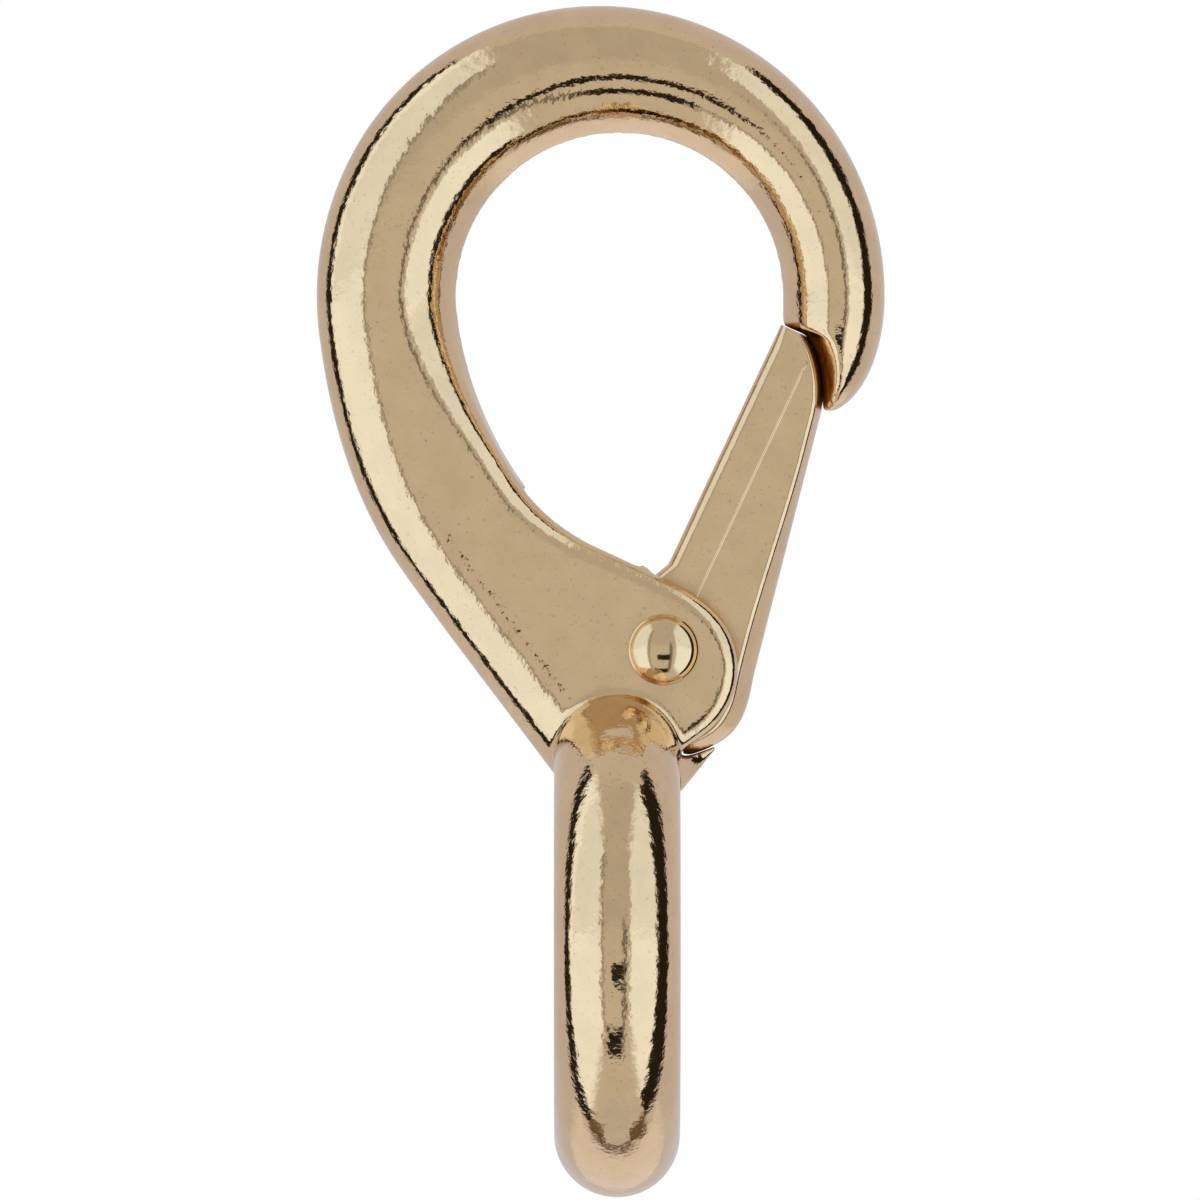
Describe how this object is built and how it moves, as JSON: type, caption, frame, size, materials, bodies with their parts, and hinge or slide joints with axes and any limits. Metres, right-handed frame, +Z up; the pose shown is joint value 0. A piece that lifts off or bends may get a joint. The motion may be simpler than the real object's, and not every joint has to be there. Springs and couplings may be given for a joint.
{
  "type": "snap hook",
  "caption": "Rigid-eye boat snap hook: cast round-bowl hook, crosswise eye in one with it, and a sprung channel gate on a rivet that swings inwards.",
  "frame": {"origin": "the inner crown of the hook's loop, where the snap bears on what it is clipped to", "axes": "+Z up from the eye to the hook's crown, the longest way; +X towards the gate and nose, in the plane of the hook; +Y from the cheek that faces front to the one behind, the hook's thickness"},
  "size_m": [0.0438, 0.0392, 0.0918],
  "materials": {
    "cast_plated": "bright gold-coloured plating over a lightly pitted casting",
    "gate_plated": "bright gold-coloured plating, a little smoother than the hook",
    "rivet_plated": "polished gold-coloured rivet",
    "spring_steel": "drawn stainless spring wire"
  },
  "bodies": {
    "hook": {"hook_body": "cast_plated", "pivot_rivet": "rivet_plated", "torsion_spring": "spring_steel"},
    "gate": {"gate": "gate_plated"}
  },
  "joints": [
    {"name": "gate_hinge", "type": "hinge", "parent": "hook", "child": "gate", "pos_m": [0.00337, 0, -0.03979], "axis": [0, -1, 0], "range_deg": [0, 50], "stiffness_Nm_per_rad": 0.026, "springref_deg": -60.16, "deforming": ["torsion_spring"]}
  ]
}
